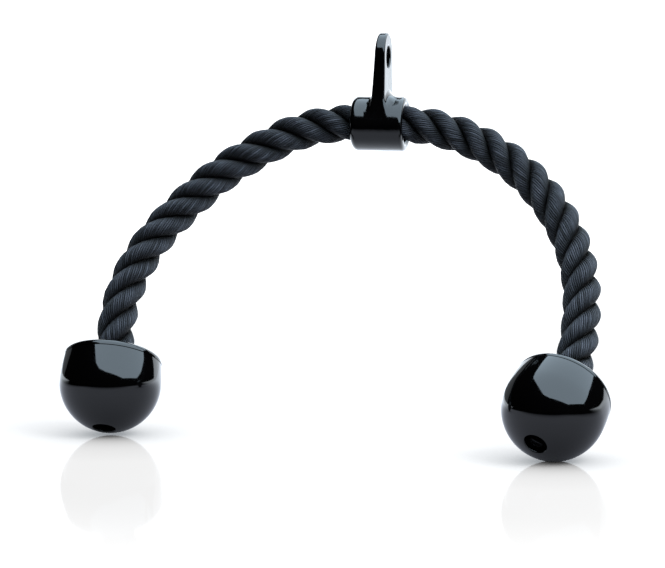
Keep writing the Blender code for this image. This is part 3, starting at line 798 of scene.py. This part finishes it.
class ROPE_OT_rope(Operator):
    """Make the two arms of the rope, each in two pieces that meet between its joints"""

    bl_idname = "triceps_rope.rope"
    bl_label = "Rope"

    def execute(self, context):
        settings = context.scene.triceps_rope
        material = rope_material(settings)
        half = SLEEVE_LENGTH / 2
        split = half + SPLIT_FROM_MOUTH
        for side in SIDES:
            line = RopeLine(side)
            turn, lay = getattr(settings, f"turn_{side}"), getattr(settings, f"lay_{side}")
            upper, lower = f"{side}_arm_upper", f"{side}_arm_lower"
            stretches = (
                ("inner", 0, split, half, UPPER_BEND, ("sleeve", upper),
                 ("rope_centre", f"rope_{side}_upper")),
                ("outer", split, line.length, split, LOWER_BEND, (upper, lower),
                 (f"rope_{side}_upper", f"rope_{side}_lower")),
            )
            for part, start, end, leaves, bend, bodies, nodes in stretches:
                name = f"rope_{side}_{part}"
                mesh = rope_piece_mesh(name, line, turn, lay, start, end, settings)
                piece = add_piece(name, mesh, material, nodes=nodes)
                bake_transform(piece)
        return {"FINISHED"}


class ROPE_OT_knobs(Operator):
    """Make both knobs: a body with a ball end and a cap that closes it round the rope"""

    bl_idname = "triceps_rope.knobs"
    bl_label = "Knobs"

    def execute(self, context):
        settings = context.scene.triceps_knobs
        material = plastic_material(settings)
        body, cap = knob_body_profile(), knob_cap_profile()
        for side in SIDES:
            place = RopeLine(side).knob_frame()
            for part, profile in (("body", body), ("cap", cap)):
                name = f"moulded_{part}_{side}"
                grid = {"points": turned(profile, settings.steps, place), "loop_rows": True}
                add_piece(
                    name, new_mesh(name, [grid]), material, f"{side}_arm_lower",
                    [f"knob_{part}_{side}"],
                )
        return {"FINISHED"}


def knob_body_profile():
    """Section of the knob's body: a wall that narrows as height squared, over a half ball.

    Inside are a pocket for the ferrule, a bore for the rope, a ledge, and the hole at the pole.
    """
    chamfer = KNOB_SEAM_CHAMFER
    pocket = BORE_RADIUS + FERRULE_WALL + TOUCH_GAP
    pocket_floor = KNOB_WALL_HEIGHT - FERRULE_LENGTH - TOUCH_GAP
    heights = np.linspace(KNOB_WALL_HEIGHT - chamfer, 0, 25)
    radii = KNOB_RADIUS - KNOB_RIM_INSET * (heights / KNOB_WALL_HEIGHT) ** 2
    wall = stacked(radii, heights, np.zeros_like(radii))
    mouth = POLE_HOLE_RADIUS + POLE_HOLE_EDGE
    angles = -np.linspace(0, math.acos(mouth / KNOB_RADIUS), 49)[1:]
    across, up = KNOB_RADIUS * np.cos(angles), KNOB_RADIUS * np.sin(angles)
    ball = stacked(across, up, np.zeros_like(up))
    return rounded([
        (pocket, KNOB_WALL_HEIGHT, 0.0003),
        (RIM_RADIUS - chamfer, KNOB_WALL_HEIGHT, 0.0001),
        *wall,
        *ball[:-1],
        # These three break the edge of the hole at the pole
        (ball[-1, 0] - 0.0002, ball[-1, 1] + 0.00002, 0),
        (POLE_HOLE_RADIUS + 0.0001, ball[-1, 1] + 0.0005, 0),
        (POLE_HOLE_RADIUS, ball[-1, 1] + POLE_HOLE_EDGE, 0),
        (POLE_HOLE_RADIUS, LEDGE_BOTTOM, 0.0004),
        (SCREW_HOLE_RADIUS, LEDGE_BOTTOM, 0.0003),
        (SCREW_HOLE_RADIUS, LEDGE_TOP, 0.0003),
        (BORE_RADIUS, LEDGE_TOP, 0.0003),
        (BORE_RADIUS, pocket_floor, 0.0003),
        (pocket, pocket_floor, 0.0003),
    ], closed=True, steps=4)


def knob_cap_profile():
    """Section of the cap: a flat ring with a well rounded outer edge, round the rope's hole."""
    low = KNOB_WALL_HEIGHT + TOUCH_GAP
    chamfer = KNOB_SEAM_CHAMFER
    return rounded([
        (BORE_RADIUS, CAP_TOP, CAP_HOLE_EDGE),
        (RIM_RADIUS, CAP_TOP, CAP_EDGE - 0.0001),
        (RIM_RADIUS, low + chamfer - 0.0001, 0),
        (RIM_RADIUS - chamfer, low, 0.0001),
        (BORE_RADIUS, low, 0.0002),
    ], closed=True, steps=12)


class ROPE_OT_end_fixings(Operator):
    """Make the washer and screw in each knob's pole hole, and finish the ferrule inside"""

    bl_idname = "triceps_rope.end_fixings"
    bl_label = "End fixings"

    def execute(self, context):
        steel = plated_steel(context)
        high = LEDGE_BOTTOM - TOUCH_GAP
        low = high - WASHER_THICKNESS
        washer = rounded([
            (SCREW_HOLE_RADIUS, high, 0.0002),
            (WASHER_RADIUS, high, 0.0003),
            (WASHER_RADIUS, low, 0.0003),
            (SCREW_HOLE_RADIUS, low, 0.0002),
        ], closed=True, steps=4)
        seat = low - TOUCH_GAP
        profile, sides = end_screw_profile(seat)
        for side in SIDES:
            place = RopeLine(side).knob_frame()
            grids = (
                ("plain_washer", "end_washer", {"points": turned(washer, 96, place), "loop_rows": True}),
                ("button_screw", "end_screw",
                 {"points": turned(profile, 96, place, sides), "capped": True}),
            )
            for kind, node, grid in grids:
                name = f"{kind}_{side}"
                add_piece(
                    name, new_mesh(name, [grid]), steel, f"{side}_arm_lower",
                    [f"{node}_{side}"],
                )
            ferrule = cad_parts[f"rope_ferrule_{side}"]
            for holder in ferrule.material_slots:
                holder.material = steel
        return {"FINISHED"}


def end_screw_profile(seat):
    """Section of a button-head screw from its tip down to its hexagon socket.

    The second array says which rows are hexagons.
    """
    low = seat - END_SCREW_HEAD_HEIGHT
    shank, head = END_SCREW_RADIUS, END_SCREW_HEAD_RADIUS
    half = END_SCREW_SOCKET / 2
    outside = rounded([
        (0.0003, seat + END_SCREW_LENGTH, 0),
        (shank, seat + END_SCREW_LENGTH - END_SCREW_TIP, 0.001),
        (shank, seat, 0.0002),
        (head, seat, 0.0002),
        (head, low, 0.0016),
        (half + 0.0007, low, 0),
    ], steps=6)
    inside = np.array([
        (half + 0.0003, low + 0.00002),
        (half + 0.00006, low + 0.0002),
        (half, low + 0.0004),
        (half, low + END_SCREW_SOCKET_DEPTH - 0.0001),
        (half - 0.0001, low + END_SCREW_SOCKET_DEPTH),
        (0.0004, low + END_SCREW_SOCKET_DEPTH),
    ])
    sides = np.concatenate([np.zeros(len(outside)), [0.6, 1, 1, 1, 1, 1]])
    return np.vstack([outside, inside]), sides


class ROPE_OT_bracket(Operator):
    """Make the cast bracket: a sleeve round the rope and a lug with an eye"""

    bl_idname = "triceps_rope.bracket"
    bl_label = "Bracket"

    def execute(self, context):
        material = coating_material(context.scene.triceps_bracket)
        mesh = new_mesh("bracket", [{"points": sleeve_grid(), "loop_rows": True}])
        holes = []
        radius, reach = SET_SCREW_RADIUS + TOUCH_GAP, SLEEVE_WALL / 2 + 0.002
        profile = np.array([(radius, reach), (radius, -reach)])
        for outward in SIDES.values():
            place = set_screw_frame(outward, BORE_RADIUS + SLEEVE_WALL / 2)
            holes.append(new_mesh("hole", [{"points": turned(profile, 64, place), "capped": True}]))
        mesh = cut(mesh, holes)
        lug = new_mesh("lug", [{"points": lug_grid(), "loop_rows": True}])
        joined = bmesh.new()
        joined.from_mesh(mesh)
        joined.from_mesh(lug)
        joined.to_mesh(mesh)
        joined.free()
        mesh.polygons.foreach_set("use_smooth", np.ones(len(mesh.polygons), dtype=bool))
        mesh.set_sharp_from_angle(angle=math.radians(35))
        add_piece("cast_bracket", mesh, material, "sleeve", ["bracket_casting"])
        return {"FINISHED"}


def cut(mesh, cutters):
    """The mesh without the space that the cutters' closed meshes fill."""
    target = add_object("target", mesh)
    helpers = [add_object("cutter", cutter) for cutter in cutters]
    for helper in helpers:
        modifier = target.modifiers.new("cut", "BOOLEAN")
        modifier.operation = "DIFFERENCE"
        modifier.solver = "EXACT"
        modifier.object = helper
    bpy.context.view_layer.update()
    evaluated = target.evaluated_get(bpy.context.evaluated_depsgraph_get())
    result = bpy.data.meshes.new_from_object(evaluated)
    for helper in (target, *helpers):
        bpy.data.objects.remove(helper, do_unlink=True)
    return result


def sleeve_grid():
    """The sleeve's wall: a rounded rectangle turned about the rope's line."""
    half = SLEEVE_LENGTH / 2
    profile = rounded([
        (BORE_RADIUS, half, SLEEVE_MOUTH_EDGE_RIGHT),
        (SLEEVE_RADIUS, half, SLEEVE_EDGE_RIGHT),
        (SLEEVE_RADIUS, -half, SLEEVE_EDGE),
        (BORE_RADIUS, -half, SLEEVE_MOUTH_EDGE),
    ], closed=True, steps=12)
    place = Matrix.Translation(SLEEVE_CENTRE.tolist()) @ Matrix.Rotation(math.pi / 2, 4, "Y")
    return turned(profile, 180, place)


def lug_thickness(heights):
    """The lug's thickness, which grows in a straight line from its top to the sleeve's top."""
    sleeve_top = SLEEVE_RADIUS - EYE_TO_SLEEVE
    share = (heights - sleeve_top) / (LUG_TOP_ABOVE_EYE - sleeve_top)
    return LUG_THICKNESS_FOOT + share * (LUG_THICKNESS_TOP - LUG_THICKNESS_FOOT)


def lug_face(across, facing, width, height, side_share):
    """Distance along the sleeve of one face of the lug, over points (y, z) across the sleeve.

    The flare at its foot stands off the face by width * (1 - sqrt(1 - (1 - rise / height)^2)), where
    rise is the height over the sleeve's surface. Under that surface it runs on, nearly level. Down
    the sleeve's sides the width changes to its share there.
    """
    y, z = across[..., 0], across[..., 1]
    rise = np.hypot(y, z + EYE_TO_SLEEVE) - SLEEVE_RADIUS + FLARE_SINK
    share = np.clip(1 - rise / height, 0, 1)
    upward = np.clip((z + EYE_TO_SLEEVE) / SLEEVE_RADIUS, 0, 1)
    width = width * (side_share + (1 - side_share) * upward)
    flare = width * (1 - np.sqrt(1 - share**2)) + np.clip(-8 * rise, 0, 0.002)
    face = LUG_RIGHT_FACE - (0 if facing > 0 else lug_thickness(z))
    return face + facing * flare


def lug_grid():
    """The lug as a closed ring of section about the eye, with the flares at its foot.

    Columns go round the outline: a half circle on sides that are straight and then spread, by
    spread * share^2, until they touch the sleeve's side and run on with it. Rows go from the eye's
    left edge through its wall to the right face, over the outer edge, and back along the left face.
    A face's point stands at eye + share * (outline - eye), and both edges are quarter circles.
    """
    half = LUG_WIDTH / 2
    top = LUG_TOP_ABOVE_EYE - half
    lowest = (SLEEVE_RADIUS - FLARE_SINK) * math.sin(LUG_FOOT_ANGLE) - EYE_TO_SLEEVE
    spread = (SLEEVE_RADIUS - FLARE_SINK) * math.cos(LUG_FOOT_ANGLE) - half
    length = 2 * spread / math.tan(LUG_FOOT_ANGLE)
    arch = np.linspace(0, math.pi, 65)
    up = np.linspace(lowest, top, 81)[:-1]
    share = np.clip(1 - (up - lowest) / length, 0, 1)
    sides = half + spread * share**2
    tilt = np.arctan(2 * spread * share / length)
    under = np.linspace(math.radians(20), math.pi - math.radians(20), 41)
    bore = BORE_RADIUS + LUG_FOOT_COVER
    outline = np.vstack([
        stacked(-sides, up),
        stacked(-half * np.cos(arch), top + half * np.sin(arch)),
        stacked(sides, up)[::-1],
        stacked(bore * np.cos(under), bore * np.sin(under) - EYE_TO_SLEEVE),
    ])
    facing = np.vstack([
        stacked(-np.cos(tilt), np.sin(tilt)),
        stacked(-np.cos(arch), np.sin(arch)),
        stacked(np.cos(tilt), np.sin(tilt))[::-1],
        stacked(-np.cos(under), -np.sin(under)),
    ])
    inner = outline - LUG_EDGE * facing
    spoke = unit(inner)
    rim = EYE_RADIUS + EYE_EDGE
    bend = np.linspace(0, math.pi / 2, 8)[:, None]
    share = np.linspace(0, 1, 100)[1:-1, None, None]
    ring = spoke * (rim - EYE_EDGE * np.sin(bend[..., None]))
    face = spoke * rim + share * (inner - spoke * rim)
    edge = inner + LUG_EDGE * np.sin(bend[..., None]) * facing
    eye_depth = EYE_EDGE * (1 - np.cos(bend))
    edge_depth = LUG_EDGE * (1 - np.cos(bend))
    mix = np.linspace(0, 1, 8)[1:-1, None]

    def right(across):
        return lug_face(across, 1, *FLARE_RIGHT)

    def left(across):
        return lug_face(across, -1, *FLARE_LEFT)

    wall = (1 - mix) * (right(outline) - LUG_EDGE) + mix * (left(outline) + LUG_EDGE)
    across = np.concatenate(
        [ring, ring[::-1], face, edge, np.tile(outline, (6, 1, 1)), edge[::-1], face[::-1]]
    )
    along = np.concatenate([
        left(ring) + eye_depth, right(ring[::-1]) - eye_depth[::-1], right(face),
        right(edge) - edge_depth, wall, left(edge[::-1]) + edge_depth[::-1], left(face[::-1]),
    ])
    return np.concatenate([along[..., None], across], axis=-1)


def set_screw_frame(outward, radius):
    """Place of a set screw: local Z runs out along the sleeve's radius, behind its lowest line."""
    direction = Vector((0, math.sin(SET_SCREW_ANGLE), -math.cos(SET_SCREW_ANGLE)))
    centre = Vector(SLEEVE_CENTRE) + direction * radius + Vector((outward * SET_SCREW_OFFSET, 0, 0))
    return Matrix.LocRotScale(centre, direction.to_track_quat("Z", "Y"), None)


class ROPE_OT_set_screws(Operator):
    """Make the two set screws that hold the sleeve on the rope"""

    bl_idname = "triceps_rope.set_screws"
    bl_label = "Set screws"

    def execute(self, context):
        steel = plated_steel(context)
        length = SLEEVE_WALL - SET_SCREW_RECESS
        radius, half = SET_SCREW_RADIUS, SET_SCREW_SOCKET / 2
        outside = rounded([
            (0.0004, -length / 2, 0),
            (radius, -length / 2, 0.0005),
            (radius, length / 2, 0.0005),
            (half + 0.0006, length / 2, 0),
        ])
        inside = np.array([
            (half + 0.0002, length / 2 - 0.00002),
            (half, length / 2 - 0.0003),
            (half, length / 2 - 0.0024),
            (half - 0.0001, length / 2 - 0.0025),
            (0.0003, length / 2 - 0.0025),
        ])
        sides = np.concatenate([np.zeros(len(outside)), [0.7, 1, 1, 1, 1]])
        profile = np.vstack([outside, inside])
        for side, outward in SIDES.items():
            place = set_screw_frame(outward, BORE_RADIUS + length / 2)
            # The profile runs up the outside, so its columns are turned round
            points = turned(profile, 72, place, sides)[:, ::-1]
            name = f"grub_screw_{side}"
            mesh = new_mesh(name, [{"points": points, "capped": True}])
            add_piece(name, mesh, steel, "sleeve", [f"set_screw_{side}"])
        return {"FINISHED"}


class ROPE_OT_studio(Operator):
    """Make the floor, the lamps and the world that the object is shown in"""

    bl_idname = "triceps_rope.studio"
    bl_label = "Studio"

    def execute(self, context):
        settings = context.scene.triceps_studio
        reach = np.linspace(-FLOOR_REACH, FLOOR_REACH, 17)
        across, away = np.meshgrid(reach, reach)
        points = stacked(across, away, np.full_like(across, FLOOR_HEIGHT))
        mesh = new_mesh("floor", [{"points": points, "open_columns": True}])
        mesh.materials.append(floor_material(settings))
        floor = add_object("floor", mesh)
        add_panel("softbox_shine", settings.key_shine)
        for name, setting, frame_axes, size, colour, unseen in LAMPS:
            lamp = add_lamp(name, frame_axes, size, getattr(settings, setting), colour)
            setattr(lamp, unseen, False)
        world_light(context.scene, settings)
        context.scene.view_settings.view_transform = "Standard"
        return {"FINISHED"}


def add_lamp(name, frame_axes, size, brightness, colour):
    """A rectangular lamp. Its brightness is what a mirror would show: 1 is white."""
    place, sideways, upward = frame_axes
    data = bpy.data.lights.new(name, "AREA")
    data.shape = "RECTANGLE"
    data.size, data.size_y = size
    data.energy = brightness * math.pi * size[0] * size[1]
    data.color = colour
    lamp = add_object(name, data)
    across, up = Vector(sideways).normalized(), Vector(upward).normalized()
    turn = Matrix((across, up, across.cross(up))).transposed().to_4x4()
    lamp.matrix_world = Matrix.Translation(place) @ turn
    lamp.visible_camera = False
    return lamp


def add_panel(name, brightness):
    """The softbox's glowing front: a flat many-sided card that only gloss sees."""
    place, sideways, upward = (np.array(v) for v in SOFTBOX)
    corners = np.array(SOFTBOX_OUTLINE) @ np.stack([unit(sideways), unit(upward)])
    mesh = bpy.data.meshes.new(name)
    mesh.from_pydata((place + corners).tolist(), [], [list(range(len(corners)))])
    material, _, shader = new_material("softbox_fabric")
    shader.inputs["Base Color"].default_value = (0, 0, 0, 1)
    shader.inputs["Specular IOR Level"].default_value = 0
    shader.inputs["Emission Color"].default_value = (*DAYLIGHT, 1)
    shader.inputs["Emission Strength"].default_value = brightness
    mesh.materials.append(material)
    card = add_object(name, mesh)
    card.visible_camera = False
    card.visible_diffuse = False
    card.visible_shadow = False


def floor_material(settings):
    """Painted board, sprayed satin white: pale, even, with a faint blurred mirror image.

    The camera sees it lifted to white, more so away from the object, and the object's shadow and
    mirror image stay, with a painted contact shadow where a knob rests. Gloss on the object finds it
    slightly blue, only near the object, and with the same painted shadow near a knob.
    """
    material, tree, shader = new_material("satin_white_board")
    place = add_node(tree, "ShaderNodeTexCoord")
    # Orange peel of the sprayed paint, 2 mm apart
    bump = add_bump(tree, add_noise(tree, (place, "Object"), 500.0, 2.0), 0.02, 0.0001)
    matt = add_node(
        tree, "ShaderNodeBsdfDiffuse", None, {"Color": settings.floor_colour}, {"Normal": bump},
    )
    mirror = add_node(
        tree, "ShaderNodeBsdfGlossy", None, {"Color": (*WHITE, 1), "Roughness": FLOOR_BLUR},
        {"Normal": bump},
    )
    away = add_node(tree, "ShaderNodeVectorMath", {"operation": "LENGTH"}, links={0: (place, "Object")})
    rise = add_range(
        tree, (away, "Value"), settings.floor_lift, FLOOR_FAR_LIFT, FLOOR_WHITENS, smooth=True,
    )
    # Closeness to the object, which paints a contact shadow on the floor where a knob rests on it
    close = add_node(tree, "ShaderNodeAmbientOcclusion", {"samples": 8}, {"Distance": CONTACT_SHADE_REACH})
    lift = add_glow(tree, WHITE, add_product(tree, rise, (close, "AO")))
    pale = add_node(tree, "ShaderNodeBsdfDiffuse", None, {"Color": settings.floor_shade})
    lit = add_node(tree, "ShaderNodeAddShader", links={0: pale, 1: lift})
    seen = add_node(
        tree, "ShaderNodeMixShader", None, {"Fac": settings.floor_mirror}, {1: lit, 2: mirror},
    )
    # What gloss finds fades out beside the object and in front of it, and near a knob it is darkened by
    # the painted contact shadow
    parts = add_node(tree, "ShaderNodeSeparateXYZ", links={"Vector": (place, "Object")})
    shifted = add_node(
        tree, "ShaderNodeMath", {"operation": "ADD"}, {1: GLOSS_SHIFT}, {0: (parts, "X")},
    )
    beside = add_node(tree, "ShaderNodeMath", {"operation": "ABSOLUTE"}, links={0: shifted})
    near = add_range(tree, beside, 0, 1, FLOOR_BESIDE)
    front = add_range(tree, (parts, "Y"), 0, 1, FLOOR_IN_FRONT)
    shown = add_product(tree, add_product(tree, near, front), (close, "AO"))
    # Behind the object it brightens into the backdrop
    back = add_range(tree, (parts, "Y"), 0, settings.backdrop_shine, FLOOR_BEHIND, smooth=True)
    found, sweep = add_glow(tree, FLOOR_IN_GLOSS, shown), add_glow(tree, COOL_WHITE, back)
    gloss = add_node(tree, "ShaderNodeAddShader", links={0: found, 1: sweep})
    surface = pick_by_ray(
        tree, "Is Camera Ray", pick_by_ray(tree, "Is Glossy Ray", matt, gloss), seen,
    )
    tree.nodes.remove(shader)
    tree.links.new(surface.outputs[0], tree.nodes["Material Output"].inputs["Surface"])
    return material


def world_light(scene, settings):
    """White where the camera looks past the floor, even sky light for the rest, dark in the gloss."""
    world = bpy.data.worlds.new("studio")
    world.use_nodes = True
    tree = world.node_tree
    tree.nodes.clear()
    sky, dark, white = (
        add_node(tree, "ShaderNodeBackground", None, {"Color": (*tone, 1), "Strength": strength})
        for tone, strength in (
            (SKY_WHITE, settings.sky_light), (WHITE, settings.sky_shine), (WHITE, 1.0),
        )
    )
    seen = pick_by_ray(tree, "Is Camera Ray", pick_by_ray(tree, "Is Glossy Ray", sky, dark), white)
    add_node(tree, "ShaderNodeOutputWorld", links={"Surface": seen})
    scene.world = world


class ROPE_PT_panel(Panel):
    bl_idname = "ROPE_PT_panel"
    bl_label = "Rope attachment"
    bl_space_type = "VIEW_3D"
    bl_region_type = "UI"
    bl_category = "Rope attachment"

    def draw(self, context):
        for title, group, settings in (
            ("Rope", "triceps_rope", RopeSettings),
            ("Knobs", "triceps_knobs", KnobSettings),
            ("Bracket", "triceps_bracket", BracketSettings),
            ("Studio", "triceps_studio", StudioSettings),
        ):
            box = self.layout.box()
            box.label(text=title)
            for name in settings.__annotations__:
                box.prop(getattr(context.scene, group), name)
        for operator in STEPS:
            self.layout.operator(operator.bl_idname)


GROUPS = {
    "triceps_rope": RopeSettings,
    "triceps_knobs": KnobSettings,
    "triceps_bracket": BracketSettings,
    "triceps_studio": StudioSettings,
}
STEPS = (
    ROPE_OT_camera,
    ROPE_OT_rope,
    ROPE_OT_knobs,
    ROPE_OT_end_fixings,
    ROPE_OT_bracket,
    ROPE_OT_set_screws,
    ROPE_OT_studio,
)


def register():
    for name, group in GROUPS.items():
        bpy.utils.register_class(group)
        setattr(bpy.types.Scene, name, PointerProperty(type=group))
    for kind in (*STEPS, ROPE_PT_panel):
        bpy.utils.register_class(kind)


def unregister():
    for kind in reversed((*STEPS, ROPE_PT_panel)):
        bpy.utils.unregister_class(kind)
    for name, group in GROUPS.items():
        delattr(bpy.types.Scene, name)
        bpy.utils.unregister_class(group)


def main():
    register()
    bpy.ops.triceps_rope.camera()
    bpy.ops.triceps_rope.rope()
    bpy.ops.triceps_rope.knobs()
    bpy.ops.triceps_rope.end_fixings()
    bpy.ops.triceps_rope.bracket()
    bpy.ops.triceps_rope.set_screws()
    bpy.ops.triceps_rope.studio()


if __name__ == "__main__":
    main()
